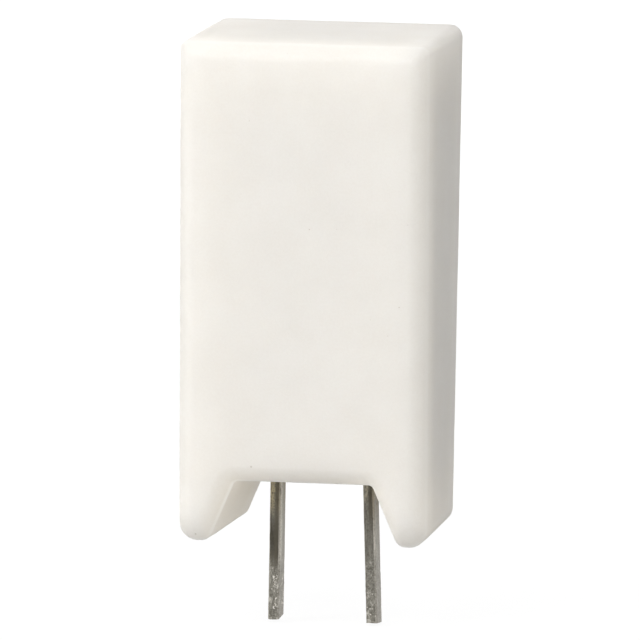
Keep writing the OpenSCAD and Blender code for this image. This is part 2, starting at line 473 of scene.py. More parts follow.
@dataclass(frozen=True)
class SetCement:
    """Set cement: pale, rough, with grains of filler in it."""

    name: str = "set_cement"
    light: Colour = (0.78, 0.755, 0.70)
    shade: Colour = (0.655, 0.625, 0.565)
    filler: Colour = (0.86, 0.84, 0.80)
    dark: Colour = (0.36, 0.33, 0.285)
    blots: Cloud = Cloud(0.8, 5.0, 0.6)
    grain: Cloud = Cloud(0.10, 4.0, 0.7)
    sand: Spots = Spots(0.27, 0.36, 0.45)
    grit: Spots = Spots(0.55, 0.12, 0.35)
    relief: float = 0.05

    def material(self) -> bpy.types.Material:
        """Builds the material.

        Returns:
            The material.
        """
        b = Bench(self.name)
        blots = b.cloud(self.blots).between(*BROAD)
        grain = b.cloud(self.grain)
        sand, grit = b.spots(self.sand), b.spots(self.grit)
        tone = (blots * 0.45 + grain.between(*BROAD) * 0.55).clamped()
        colour = b.mix(tone, self.light, self.shade)
        colour = b.mix(sand * 0.55, colour, self.filler)
        colour = b.mix(grit * 0.6, colour, self.dark)
        height = grain * 0.6 + sand * 0.5 + blots * 0.4 - grit * 0.4
        return b.finish(Base_Color=colour, Roughness=0.82 + grain * 0.12,
                        Normal=b.bump(height, self.relief, 0.9))


class StripFace(Enum):
    """The kinds of face on a lead's strip."""

    PLATED = "plated"
    CUT = "cut"
    # Painted highlight: the rounded edges on the +x side, in brighter tones.
    EDGE = "edge"


@dataclass(frozen=True)
class StripTones:
    """The colours of one kind of face, its roughness and how far it takes the painted shadow."""

    dull: Colour
    bright: Colour
    tarnish: Colour
    dark: Colour
    roughness: float
    takes_shadow: float
    tin_low: Colour
    tin_high: Colour


TONES = {
    StripFace.PLATED: StripTones(
        dull=(0.28, 0.26, 0.225), bright=(0.44, 0.415, 0.36), tarnish=(0.40, 0.365, 0.285),
        dark=(0.17, 0.155, 0.125), roughness=0.42, takes_shadow=0.0,
        tin_low=(0.23, 0.215, 0.185), tin_high=(0.42, 0.395, 0.35)),
    # The cut faces are darker than the plated sides: bare cut metal, and painted dark reflection on
    # the faces that look to the front.
    StripFace.CUT: StripTones(
        dull=(0.17, 0.162, 0.138), bright=(0.32, 0.305, 0.265), tarnish=(0.54, 0.485, 0.34),
        dark=(0.125, 0.113, 0.085), roughness=0.50, takes_shadow=1.0,
        tin_low=(0.13, 0.124, 0.105), tin_high=(0.33, 0.315, 0.275)),
    # Painted highlight: brighter tones for the rounded edges on the +x side.
    StripFace.EDGE: StripTones(
        dull=(0.44, 0.415, 0.36), bright=(0.64, 0.61, 0.55), tarnish=(0.50, 0.46, 0.36),
        dark=(0.24, 0.22, 0.18), roughness=0.36, takes_shadow=0.15,
        tin_low=(0.18, 0.168, 0.145), tin_high=(0.40, 0.38, 0.335))}


@dataclass(frozen=True)
class StripWear:
    """Where one lead is tarnished, dipped and darkened by painted shadow and painted shade, in
    millimetres, and how strong its painted marks are.
    """

    lead: str
    middle: float
    lean: float
    dip_top: float
    shadow_low: float
    shadow_high: float
    shadow_strength: float
    shade_band_low: float
    shade_band: float
    edge_sheen: float
    old_low: float
    warmth: float
    front: float = 0.55


SHORT_WEAR = StripWear("short_lead", middle=-2.454, lean=-0.014, dip_top=-2.1,
                       shadow_low=-1.7, shadow_high=0.3, shadow_strength=0.95, shade_band_low=-2.2,
                       shade_band=0.9, edge_sheen=0.95, old_low=0.7, warmth=1.0)
LONG_WEAR = StripWear("long_lead", middle=2.502, lean=0.029, dip_top=-1.4,
                      shadow_low=0.0, shadow_high=1.6, shadow_strength=0.08, shade_band_low=0.5,
                      shade_band=1.0, edge_sheen=0.3, old_low=1.3, warmth=0.45)


@dataclass(frozen=True)
class TinnedStrip:
    """Dull tinned strip: drawn streaks, tarnish near the case, an uneven dipped end, and painted
    shadow, painted shade and painted sheen.
    """

    face: StripFace
    wear: StripWear
    crystal: Colour = (0.84, 0.81, 0.74)
    frost: Colour = (0.60, 0.575, 0.52)
    # Colour of the painted sheen near the front edge of the plated sides.
    sheen_colour: Colour = (0.76, 0.73, 0.65)
    grey: Colour = (0.50, 0.475, 0.41)
    # Tint of the painted shadow below the feet.
    shadow_tint: Colour = (0.32, 0.305, 0.28)
    drawn: Cloud = Cloud(0.075, 3.0, 0.6, (1.0, 1.0, 0.07))
    mottle: Cloud = Cloud(0.17, 4.0, 0.68)
    grain: Cloud = Cloud(0.06, 3.0, 0.6, (1.0, 1.0, 0.7))
    drift: Cloud = Cloud(0.8, 3.0)
    frosting: Cloud = Cloud(0.30, 4.0, 0.7, (1.0, 1.0, 0.45))
    abrasion: Cloud = Cloud(0.36, 4.0, 0.7, (1.0, 1.0, 0.5))
    crystals: Spots = Spots(0.15, 0.3, 0.10)
    pits: Spots = Spots(0.38, 0.2, 0.5)
    dip_fade: Place = (0.7, -0.3)
    old_fade: Place = (0.0, 1.3)
    shadow_over: Place = (0.9, -0.9)
    shadow_under: Place = (-0.5, 0.7)
    sheen_fade: Place = (0.85, 0.1)
    shade_band_edges: tuple[Place, Place] = ((-0.06, 0.05), (0.25, 0.15))
    shade_band_fade: Place = (-0.6, 0.6)
    relief: float = 0.02

    def material(self) -> bpy.types.Material:
        """Builds the material.

        Returns:
            The material.
        """
        tones, wear = TONES[self.face], self.wear
        b = Bench(wear.lead + "_" + self.face.value)
        z = b.along("Z")
        drawn, mottle, grain = b.cloud(self.drawn), b.cloud(self.mottle), b.cloud(self.grain)
        wander = (b.cloud(self.drift) - 0.5) * 2.0
        dip = (z + wander + (mottle - 0.5)).step(wear.dip_top, self.dip_fade)
        old = (z + wander + drawn).step(wear.old_low, self.old_fade)
        tone = (drawn * 0.5 + mottle * 0.3 + grain * 0.2).between(0.34, 0.66)
        colour = b.mix(tone, tones.dull, tones.bright)

        # Painted shadow: the cut faces darkened in a band just below the feet, strong on the short
        # lead and faint on the long one.
        shadow_zone = z.step(wear.shadow_high, self.shadow_over) \
            * z.step(wear.shadow_low, self.shadow_under)
        painted_shadow = (shadow_zone + (mottle - 0.5) * 1.1 + wander * 0.15) * wear.shadow_strength * tones.takes_shadow
        colour = b.mix(painted_shadow.clamped(), colour, self.shadow_tint, Blend.TIMES)
        stain = b.mix(wear.warmth, self.grey, tones.tarnish)
        patchy = (tone * 0.5 + mottle * 0.5).between(0.3, 0.6)
        colour = b.mix((old * (0.3 + 0.7 * patchy)).clamped(), colour, stain)
        # Painted sheen: the plated sides lighter near their front edge.
        if self.face is StripFace.PLATED:
            sheen_mask = b.along("Y").step(wear.front, self.sheen_fade)
            colour = b.mix(sheen_mask * (0.55 + tone * 0.45) * wear.edge_sheen, colour, self.sheen_colour)
        # Painted shade: a dark band down the right half of the cut faces, from a set height up into
        # the case.
        across = b.along("X") - wear.middle + z * wear.lean
        left, right = self.shade_band_edges
        line = across.between(*left) * across.between(*right) \
            * z.step(wear.shade_band_low, self.shade_band_fade)
        colour = b.mix((line * (drawn + 0.35) * wear.shade_band).clamped(), colour, tones.dark)

        tin = b.mix((mottle * 0.6 + grain * 0.4).between(0.36, 0.64), tones.tin_low,
                    tones.tin_high)
        colour = b.mix(dip * 0.85, colour, tin)
        frosted = b.cloud(self.frosting).between(0.52, 0.62) * dip
        colour = b.mix(frosted * 0.6, colour, self.frost)
        worn = b.cloud(self.abrasion).between(0.56, 0.68)
        colour = b.mix(worn * 0.55, colour, tones.dark)
        crystals = b.spots(self.crystals) * dip
        colour = b.mix((crystals * 0.7).clamped(), colour, self.crystal)
        colour = b.mix(grain.between(0.52, 0.36) * 0.45, colour, tones.dark)
        pits = b.spots(self.pits) * grain.between(0.35, 0.5)
        colour = b.mix(pits * 0.7, colour, tones.dark)

        raised = mottle * (0.25 + 0.75 * dip) + grain * 0.2 + drawn * 0.35 \
            + crystals * 0.5 - pits * 0.5
        rough = (tones.roughness + mottle * 0.2 + old * 0.12).clamped()
        return b.finish(Base_Color=colour, Metallic=0.85, Roughness=rough,
                        Normal=b.bump(raised, self.relief, 0.8))


@dataclass(frozen=True)
class StainedMetal:
    """Bare metal between two tones, with fine lines or stains that also dull it."""

    name: str
    light: Colour
    shade: Colour
    roughness: float
    lines: Cloud
    stain: Optional[Cloud] = Cloud(0.9, 3.0)
    dulled: float = 0.14
    relief: float = 0.006

    def material(self) -> bpy.types.Material:
        """Builds the material.

        Returns:
            The material.
        """
        b = Bench(self.name)
        lines = tone = b.cloud(self.lines)
        if self.stain is not None:
            tone = (lines * 0.5 + b.cloud(self.stain).between(0.35, 0.7) * 0.5).clamped()
        return b.finish(Base_Color=b.mix(tone, self.light, self.shade), Metallic=1.0,
                        Roughness=self.roughness + lines * self.dulled,
                        Normal=b.bump(lines, self.relief, 0.6))


ALLOY_WIRE = StainedMetal("alloy_wire", (0.30, 0.28, 0.26), (0.20, 0.18, 0.16), 0.38,
                          Cloud(0.09, stretch=(1.0, 1.0, 6.0)))
NICKEL_PLATE = StainedMetal("nickel_plate", (0.62, 0.60, 0.56), (0.46, 0.44, 0.40), 0.3,
                            Cloud(0.09, stretch=(1.0, 1.0, 8.0)))
SOLDER_BEAD = StainedMetal("solder_bead", (0.80, 0.77, 0.71), (0.50, 0.47, 0.42), 0.28,
                           Cloud(0.12, 3.0), stain=None, dulled=0.2)
CORE_CERAMIC = FiredCeramic("core_ceramic", (0.84, 0.81, 0.75), (0.76, 0.73, 0.66))


@dataclass(frozen=True)
class FloorSheet:
    """The pale sheet under the part: white to the camera, but it keeps the shadow."""

    colour: Colour = (0.67, 0.67, 0.67)
    fibre: Cloud = Cloud(3.0, 3.0)
    fibre_shade: float = 0.985
    white: float = 1.11
    near_share: float = 0.84
    near: float = 0.05
    far: float = 0.30

    def material(self) -> bpy.types.Material:
        """Builds the material.

        Returns:
            The material.
        """
        b = Bench("floor_sheet")
        tint = b.mix(b.cloud(self.fibre), self.colour,
                     tuple(c * self.fibre_shade for c in self.colour))
        sheet = b.node("ShaderNodeBsdfDiffuse", inputs={"Color": tint})
        glow = b.node("ShaderNodeEmission", inputs={"Color": WHITE, "Strength": self.white})
        seen = b.node("ShaderNodeLightPath", output="Is Camera Ray")
        reach = b.node("ShaderNodeVectorMath", {"operation": "LENGTH"}, {0: b.coordinates()},
                       "Value")
        rest = 1.0 - self.near_share
        share = self.near_share + reach.between(self.near / MM, self.far / MM) * rest
        share = share * (seen + seen.also("Is Glossy Ray")).clamped()
        return b.output(b.node("ShaderNodeMixShader", inputs={0: share, 1: sheet, 2: glow}))


# Outlines and meshes

@dataclass(frozen=True)
class Corner:
    """One corner of an outline: its place, its fillet, and the straight run that follows."""

    place: Place
    radius: float
    steps: int
    run: int = 1


def unit(v: np.ndarray) -> np.ndarray:
    """A vector of length 1."""
    return v / np.linalg.norm(v)


def fillet(a: np.ndarray, corner: Corner, b: np.ndarray) -> list[np.ndarray]:
    """Points of the arc that rounds a corner.

    Args:
        a: the corner before it.
        corner: the corner.
        b: the corner after it.

    Returns:
        The arc's points in order.
    """
    p = np.array(corner.place)
    u, v = unit(a - p), unit(b - p)
    half = math.acos(float(np.clip(u @ v, -1, 1))) / 2
    centre = p + unit(u + v) * corner.radius / math.sin(half)
    first = p + u * corner.radius / math.tan(half) - centre
    before, after = p - a, b - p
    side = math.copysign(1.0, before[0] * after[1] - before[1] * after[0])
    turn = (math.pi - 2 * half) * side
    start = math.atan2(first[1], first[0])
    angles = [start + turn * k / corner.steps for k in range(corner.steps + 1)]
    return [centre + corner.radius * np.array([math.cos(t), math.sin(t)]) for t in angles]


def rounded(corners: Sequence[Corner]) -> np.ndarray:
    """An outline with every corner rounded and every straight run divided.

    Args:
        corners: the corners in order.

    Returns:
        The outline's points.
    """
    places = [np.array(c.place) for c in corners]
    count = len(corners)
    arcs = [fillet(places[k - 1], c, places[(k + 1) % count]) for k, c in enumerate(corners)]
    points: list[np.ndarray] = []
    for k, corner in enumerate(corners):
        points += arcs[k]
        start, end = arcs[k][-1], arcs[(k + 1) % count][0]
        points += [start + (end - start) * i / corner.run for i in range(1, corner.run)]
    return np.array(points)


def symmetric(right: Sequence[Corner], closing_run: int) -> np.ndarray:
    """A rounded outline that is the same on both sides.

    Args:
        right: the right side's corners, from the one beside the middle below.
        closing_run: the parts of the straight run that closes the outline.

    Returns:
        The outline's points.
    """
    runs = [*[c.run for c in right][-2::-1], closing_run]
    left = [Corner((-c.place[0], c.place[1]), c.radius, c.steps, run)
            for c, run in zip(reversed(right), runs)]
    return rounded([*right, *left])


def circle(centre: Place, radius: float, sides: int) -> list[Place]:
    """Places evenly round a circle."""
    turns = [math.tau * k / sides for k in range(sides)]
    return [(centre[0] + radius * math.cos(t), centre[1] + radius * math.sin(t)) for t in turns]


def quarter(steps: int) -> list[Place]:
    """The sine and cosine at even steps over a quarter turn, both ends included."""
    turns = [math.pi / 2 * k / steps for k in range(steps + 1)]
    return [(math.sin(t), math.cos(t)) for t in turns]


def upright(outline: np.ndarray, y: float) -> list[Point]:
    """The points of an outline of x and z that stands at one depth."""
    return [(x, y, z) for x, z in outline]


def inside(points: np.ndarray, outline: np.ndarray) -> np.ndarray:
    """Which points lie inside an outline.

    Args:
        points: the points, one a row.
        outline: the closed outline's points.

    Returns:
        One True or False for each point.
    """
    x, y = points[:, 0, None], points[:, 1, None]
    x0, y0 = outline[:, 0], outline[:, 1]
    x1, y1 = np.roll(x0, -1), np.roll(y0, -1)
    spans = (y0 > y) != (y1 > y)
    rise = np.where(y1 == y0, 1.0, y1 - y0)
    return (spans & (x < x0 + (y - y0) * (x1 - x0) / rise)).sum(1) % 2 == 1


def distance(points: np.ndarray, outline: np.ndarray) -> np.ndarray:
    """Distances to an outline.

    Args:
        points: the points, one a row.
        outline: the closed outline's points.

    Returns:
        The distance from each point to the nearest part of the outline.
    """
    along = np.roll(outline, -1, 0) - outline
    rel = points[:, None] - outline
    share = np.clip((rel * along).sum(2) / np.maximum((along ** 2).sum(1), 1e-12), 0, 1)
    return np.linalg.norm(rel - share[..., None] * along, axis=2).min(1)


def within(points: np.ndarray, loops: Sequence[np.ndarray]) -> np.ndarray:
    """Which points lie inside the first loop and outside the others.

    Args:
        points: the points, one a row.
        loops: the outer loop, then the holes'.

    Returns:
        One True or False for each point.
    """
    kept = inside(points, loops[0])
    for hole in loops[1:]:
        kept &= ~inside(points, hole)
    return kept


def frontal(point: Point) -> Place:
    """A point's place seen from the front, x and z."""
    return point[0], point[2]


def endwise(point: Point) -> Place:
    """A point's place seen from below, x and y."""
    return point[0], point[1]


class Sketch:
    """A mesh under construction, in millimetres."""

    row_share = 0.87
    edge_share = 0.55
    weld_mm = 1e-4

    def __init__(self) -> None:
        """Starts with nothing."""
        self.points: list[Point] = []
        self.faces: list[tuple[int, ...]] = []

    def ring(self, points: Sequence[Sequence[float]]) -> list[int]:
        """Adds points.

        Args:
            points: the points.

        Returns:
            Their numbers.
        """
        first = len(self.points)
        self.points += [(float(p[0]), float(p[1]), float(p[2])) for p in points]
        return list(range(first, len(self.points)))

    def bridge(self, one: Sequence[int], two: Sequence[int]) -> None:
        """Joins two rings of equal length with four-sided faces."""
        follow = [*range(1, len(one)), 0]
        self.faces += [(one[j], one[k], two[k], two[j]) for j, k in enumerate(follow)]

    def tube(self, rings: Sequence[Sequence[Sequence[float]]]) -> list[list[int]]:
        """Adds rings and joins each to the next.

        Args:
            rings: each ring's points.

        Returns:
            The numbers of each ring's points.
        """
        made = [self.ring(r) for r in rings]
        for one, two in zip(made, made[1:]):
            self.bridge(one, two)
        return made

    def lid(self, rings: Sequence[Sequence[int]], flat: Callable[[Point], Place],
            lift: Callable[[float, float], Point], spacing: float) -> None:
        """Fills a flat region with near-even triangles.

        Args:
            rings: the outer ring, then any hole's ring, as point numbers.
            flat: gives a point's place in the plane.
            lift: gives a place in the plane its point.
            spacing: distance between the points inside, in millimetres.
        """
        loops = [np.array([flat(self.points[i]) for i in ring]) for ring in rings]
        low, high = loops[0].min(0), loops[0].max(0)
        row_h = spacing * self.row_share
        rows = int((high[1] - low[1]) / row_h) + 1
        grid = np.array([
            (x, low[1] + row * row_h)
            for row in range(rows + 1)
            for x in np.arange(low[0] - spacing / 2 * (row % 2), high[0] + spacing, spacing)])
        keep = within(grid, loops)
        for loop in loops:
            keep &= distance(grid, loop) > spacing * self.edge_share
        inner = grid[keep]
        edges, first = [], 0
        for loop in loops:
            count = len(loop)
            edges += [(first + j, first + (j + 1) % count) for j in range(count)]
            first += count
        verts, _, faces, origins, _, _ = delaunay_2d_cdt(
            [Vector((float(x), float(y))) for x, y in np.concatenate([*loops, inner])],
            edges, [list(range(len(loops[0])))], 1, 1e-7)
        fresh = self.ring([lift(float(x), float(y)) for x, y in inner])
        numbers = [i for ring in rings for i in ring] + fresh
        index = [numbers[o[0]] for o in origins]
        wanted = within(np.array([np.mean([verts[i] for i in f], axis=0) for f in faces]), loops)
        self.faces += [tuple(index[i] for i in f) for f, ok in zip(faces, wanted) if ok]

    def build(self, name: str) -> bpy.types.Object:
        """Makes the object, with its faces pointing outwards.

        Args:
            name: the object's name.

        Returns:
            The object, in metres, linked to the scene.
        """
        mesh = bpy.data.meshes.new(name)
        mesh.from_pydata([tuple(c * MM for c in p) for p in self.points], [], self.faces)
        sheet = bmesh.new()
        sheet.from_mesh(mesh)
        bmesh.ops.remove_doubles(sheet, verts=sheet.verts, dist=self.weld_mm * MM)
        bmesh.ops.recalc_face_normals(sheet, faces=sheet.faces)
        sheet.to_mesh(mesh)
        sheet.free()
        return placed(name, mesh)


def placed(name: str, data: bpy.types.ID) -> bpy.types.Object:
    """Puts something in the scene.

    Args:
        name: the object's name.
        data: its mesh, lamp or camera.

    Returns:
        The object.
    """
    made = bpy.data.objects.new(name, data)
    bpy.context.scene.collection.objects.link(made)
    return made


def solid(name: str, rings: Sequence[Sequence[Point]]) -> bpy.types.Object:
    """A solid with flat ends.

    Args:
        name: the object's name.
        rings: the rings that it runs through.

    Returns:
        The solid.
    """
    sketch = Sketch()
    made = sketch.tube(rings)
    sketch.faces += [tuple(reversed(made[0])), tuple(made[-1])]
    return sketch.build(name)


def bake(target: bpy.types.Object) -> None:
    """Turns an object's modifiers into its plain mesh.

    Args:
        target: the object.
    """
    graph = bpy.context.evaluated_depsgraph_get()
    graph.update()
    done = bpy.data.meshes.new_from_object(target.evaluated_get(graph))
    target.modifiers.clear()
    old = target.data
    target.data = done
    done.name = target.name
    bpy.data.meshes.remove(old)


class Join(Enum):
    """The ways in which one solid changes another."""

    ADD = "UNION"
    CUT = "DIFFERENCE"


def combine(target: bpy.types.Object, other: bpy.types.Object, how: Join) -> None:
    """Applies an exact Boolean and deletes the other object.

    Args:
        target: the object that is changed.
        other: the object that cuts it or is added to it.
        how: whether it is added or cuts.
    """
    step = target.modifiers.new("combine", "BOOLEAN")
    step.operation = how.value
    step.solver = "EXACT"
    step.object = other
    bake(target)
    bpy.data.objects.remove(other)


def merge(target: bpy.types.Object, other: bpy.types.Object,
          material: bpy.types.Material) -> None:
    """Adds another object's mesh to a target, in one smooth material, and deletes it.

    Args:
        target: the object that grows.
        other: the object that is added.
        material: the material of what is added.
    """
    target.data.materials.append(material)
    whole = bmesh.new()
    whole.from_mesh(target.data)
    before = len(whole.faces)
    whole.from_mesh(other.data)
    whole.faces.ensure_lookup_table()
    for face in whole.faces[before:]:
        face.material_index = len(target.data.materials) - 1
        face.smooth = True
    whole.to_mesh(target.data)
    whole.free()
    bpy.data.objects.remove(other)


def smooth(target: bpy.types.Object, crease: float) -> None:
    """Shades an object smooth, with edges sharper than an angle in degrees kept sharp."""
    target.data.shade_smooth()
    target.data.set_sharp_from_angle(angle=math.radians(crease))


def unevenness(place: Vector, *swells: Place) -> float:
    """Smooth noise at a place: the sum of swells with a height and a size in millimetres."""
    return sum(height * noise.noise(place / (size * MM)) for height, size in swells)


def roughen(target: bpy.types.Object, reach: Callable[[Vector], float]) -> None:
    """Moves each point along its normal.

    Args:
        target: the object.
        reach: gives the move in millimetres for a place in metres.
    """
    mesh = target.data
    normals = [v.normal.copy() for v in mesh.vertices]
    for vertex, normal in zip(mesh.vertices, normals):
        vertex.co += normal * reach(vertex.co) * MM
    mesh.update()


def dress(piece: bpy.types.Object, material: bpy.types.Material) -> None:
    """Gives a whole piece one material."""
    piece.data.materials.clear()
    piece.data.materials.append(material)


def stand_in(piece: bpy.types.Object, node: str) -> None:
    """Sets a piece in the place of a frame node and reports it.

    Args:
        piece: the finished piece.
        node: the node that it stands for.
    """
    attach(piece, BODY)
    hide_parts(node)
    LOG.info("%s: %d faces", piece.name, len(piece.data.polygons))


# Case

@dataclass(frozen=True)
class CeramicCase:
    """The pressed case: a trough that is closed at the front and open at the back."""

    width: float = 12.95
    depth: float = 10.1
    height: float = 25.75
    front_wall: float = 1.9
    side_wall: float = 1.8
    top_wall: float = 1.8
    bottom_wall: float = 1.8
    front_round: float = 0.95
    front_round_depth: float = 0.9
    front_round_angle: float = 66.0
    front_round_rings: int = 20
    back_round: float = 0.5
    back_round_rings: int = 8
    face_corner_r: float = 0.2
    top_corner_r: float = 0.4
    back_corner_r: float = 0.65
    top_rise: float = 0.1
    back_lean: float = 0.4
    wall_rings: int = 16
    cavity_draft: float = 0.25
    cavity_corner_r: float = 0.8
    cavity_floor_r: float = 0.4
    cavity_floor_rings: int = 6
    cavity_wall_rings: int = 8
    notch_h: float = 3.15
    notch_top_w: float = 7.12
    notch_foot_w: float = 9.82
    notch_draft: float = 0.12
    notch_drop: float = 0.05
    notch_corner_r: float = 0.3
    foot_outer_r: float = 1.0
    foot_inner_r: float = 0.65
    foot_tip_w: float = 0.2
    fillet_fit: float = 0.88
    mouth_r: float = 0.12
    mouth_rings: int = 4
    soft: float = 0.02
    soft_reach: float = 2.2
    soft_rings: int = 8
    spacing: float = 0.34
    swells: tuple[Place, ...] = ((0.008, 2.7), (0.004, 1.1))
    crease: float = 17.0
    cut_past: float = 1.0

    @property
    def slope(self) -> float:
        """Run of the notch's sides for each millimetre of height."""
        return (self.notch_foot_w - self.notch_top_w) / 2 / self.notch_h

    @property
    def parting(self) -> float:
        """Depth of the parting line, where the front rounding ends."""
        return self.front_round_depth - self.depth / 2

    @property
    def cavity_low(self) -> float:
        """Height of the cavity's lower wall at its mouth."""
        return self.notch_h + self.bottom_wall

    @property
    def cavity_high(self) -> float:
        """Height of the cavity's upper wall at its mouth."""
        return self.height + self.top_rise - self.top_wall

    @property
    def slot_top(self) -> float:
        """Height that a lead's slot reaches to be open into the cavity."""
        return self.cavity_low + self.cavity_draft + self.cavity_floor_r

    @property
    def floor_y(self) -> float:
        """Depth of the cavity's floor."""
        return -self.depth / 2 + self.front_wall

    @property
    def knee_y(self) -> float:
        """Depth at which the cavity's walls start to turn into its floor."""
        return self.floor_y + self.cavity_floor_r

    @property
    def wall_reach(self) -> float:
        """How deep the cavity's straight walls are."""
        return self.depth / 2 - self.knee_y

    def outline(self, share: float, inset: float, face: float) -> np.ndarray:
        """The case's outline at one depth.

        Args:
            share: 0 at the parting line and 1 at the back.
            inset: how far the outline is drawn in.
            face: 1 on the front face and 0 at the parting line.

        Returns:
            The outline's points, x and z.
        """
        slant = math.atan(self.slope)
        side_x = self.width / 2
        high = self.height + self.top_rise * share - inset
        top_x = side_x - inset
        foot_x = top_x - self.back_lean * share
        low_x = self.notch_foot_w / 2 - self.notch_draft * share + inset / math.cos(slant)
        ceiling = self.notch_h - self.notch_drop * share + inset
        whole = side_x - self.notch_foot_w / 2
        tip = self.foot_tip_w - whole + self.front_round * (1 + 1 / math.cos(slant))
        rise = max(inset, face * tip / self.slope)
        left = foot_x - low_x + rise * self.slope
        wanted = self.foot_outer_r + self.foot_inner_r * math.tan((math.pi / 2 - slant) / 2)
        fit = min(1.0, self.fillet_fit * left / wanted)
        top_r = (self.top_corner_r + (self.face_corner_r - self.top_corner_r) * face
                 + (self.back_corner_r - self.top_corner_r) * share
                 - inset * share * self.back_corner_r)
        return symmetric([
            Corner((low_x - ceiling * self.slope, ceiling), self.notch_corner_r + inset, 6, 9),
            Corner((low_x - rise * self.slope, rise), self.foot_inner_r * fit, 8, 1),
            Corner((foot_x, rise), self.foot_outer_r * fit, 14, 66),
            Corner((top_x, high), top_r, 10, 36)], 20)

    def cavity(self, inset: float) -> np.ndarray:
        """The cavity's outline, drawn in from its mouth.

        Args:
            inset: how far it is drawn in.

        Returns:
            The outline's points, x and z.
        """
        x = self.width / 2 - self.side_wall - inset
        return symmetric([
            Corner((x, self.cavity_low + inset), self.cavity_corner_r, 10, 50),
            Corner((x, self.cavity_high - inset), self.cavity_corner_r, 10, 28)], 28)

    def outer_rings(self) -> list[list[Point]]:
        """Rings from the front face round to the back rim.

        Returns:
            Each ring's points.
        """
        front, back = -self.depth / 2, self.depth / 2
        angle = math.radians(self.front_round_angle)
        rings = []
        for k in range(self.front_round_rings + 1):
            a = angle * k / self.front_round_rings
            face = 1 - math.sin(a) / math.sin(angle)
            y = front + self.front_round_depth * (1 - math.cos(a)) / (1 - math.cos(angle))
            inset = self.soft + (self.front_round - self.soft) * face
            rings.append(upright(self.outline(0, inset, face), y))
        turn = [upright(self.outline(1, self.back_round * (1 - run), 0),
                        back - self.back_round * (1 - rise))
                for rise, run in quarter(self.back_round_rings)]

        sharp = self.outline(0, 0, 0)
        start_y = front + self.front_round_depth
        start, end = np.array(upright(sharp, start_y)), np.array(turn[0])
        soft_share = self.soft_reach / (end[0, 1] - start_y)
        for k in range(1, self.soft_rings + 1):
            part = k / self.soft_rings
            ring = start + (end - start) * part * soft_share
            ring[:, [0, 2]] += self.outline(0, self.soft * (1 - part) ** 2, 0) - sharp
            rings.append(ring.tolist())
        for k in range(1, self.wall_rings):
            part = k / self.wall_rings
            share = soft_share * (1 - part) + part
            rings.append((start + (end - start) * share).tolist())
        return rings + turn

    def cavity_wall(self, y: float) -> list[Point]:
        """The ring of the cavity's straight walls at one depth."""
        return upright(self.cavity(self.cavity_draft * (self.depth / 2 - y) / self.wall_reach), y)

    def cavity_turn(self) -> list[list[Point]]:
        """Rings of the turn from the cavity's walls to its floor."""
        return [upright(self.cavity(self.cavity_draft + self.cavity_floor_r * (1 - run)),
                        self.knee_y - self.cavity_floor_r * rise)
                for rise, run in quarter(self.cavity_floor_rings)[1:]]

    def cavity_rings(self) -> list[list[Point]]:
        """Rings from the cavity's mouth down to its floor.

        Returns:
            Each ring's points.
        """
        back = self.depth / 2
        mouth = [upright(self.cavity(-self.mouth_r * (1 - rise)), back - self.mouth_r * (1 - run))
                 for rise, run in quarter(self.mouth_rings)]
        start = back - self.mouth_r
        walls = [self.cavity_wall(start + (self.knee_y - start) * k / self.cavity_wall_rings)
                 for k in range(1, self.cavity_wall_rings + 1)]
        return mouth + walls + self.cavity_turn()

    def shell(self) -> bpy.types.Object:
        """The case without its slots.

        Returns:
            The shell.
        """
        sketch = Sketch()
        outer = sketch.tube(self.outer_rings())
        inner = sketch.tube(self.cavity_rings())
        front, back = -self.depth / 2, self.depth / 2
        floor = sketch.points[inner[-1][0]][1]
        sketch.lid([outer[0]], frontal, lambda x, z: (x, front, z), self.spacing)
        sketch.lid([outer[-1], inner[0]], frontal, lambda x, z: (x, back, z), self.spacing)
        sketch.lid([inner[-1]], frontal, lambda x, z: (x, floor, z), self.spacing * 2)
        return sketch.build("ceramic_case_body")

    def build(self, slots: "LeadSlots") -> bpy.types.Object:
        """Builds the case.

        Args:
            slots: the slots in its bottom wall.

        Returns:
            The finished case.
        """
        body = self.shell()
        roughen(body, lambda place: unevenness(place, *self.swells))
        low = self.notch_h - self.notch_drop - self.notch_corner_r
        for cutter in slots.solids(low, self.slot_top, self.depth / 2 + self.cut_past):
            combine(body, cutter, Join.CUT)
        smooth(body, self.crease)
        dress(body, MouldedCeramic(parting=self.parting).material())
        return body


@dataclass(frozen=True)
class LeadSlots:
    """The two slots that the leads leave the case through, round at the front."""

    pitch: float = 4.82
    lead_t: float = 0.58
    lead_w: float = 1.4
    lead_back: float = 1.25
    gap: float = 0.16
    end_gap: float = 0.5
    sides: int = 16

    def solids(self, low: float, high: float, to_y: float) -> list[bpy.types.Object]:
        """Solids that fill the slots.

        Args:
            low: their lower end.
            high: their upper end.
            to_y: how far back they reach.

        Returns:
            One solid for each slot.
        """
        half = self.lead_t / 2 + self.gap
        end_y = self.lead_back - self.lead_w / 2 + half - self.end_gap
        turns = [math.pi * (1 + k / self.sides) for k in range(self.sides + 1)]
        arc = [(half * math.cos(t), end_y + half * math.sin(t)) for t in turns]
        outline = [*arc, (half, to_y), (-half, to_y)]
        return [solid("slot", [[(middle + x, y, z) for x, y in outline] for z in (low, high)])
                for middle in (-self.pitch / 2, self.pitch / 2)]


# Winding and element

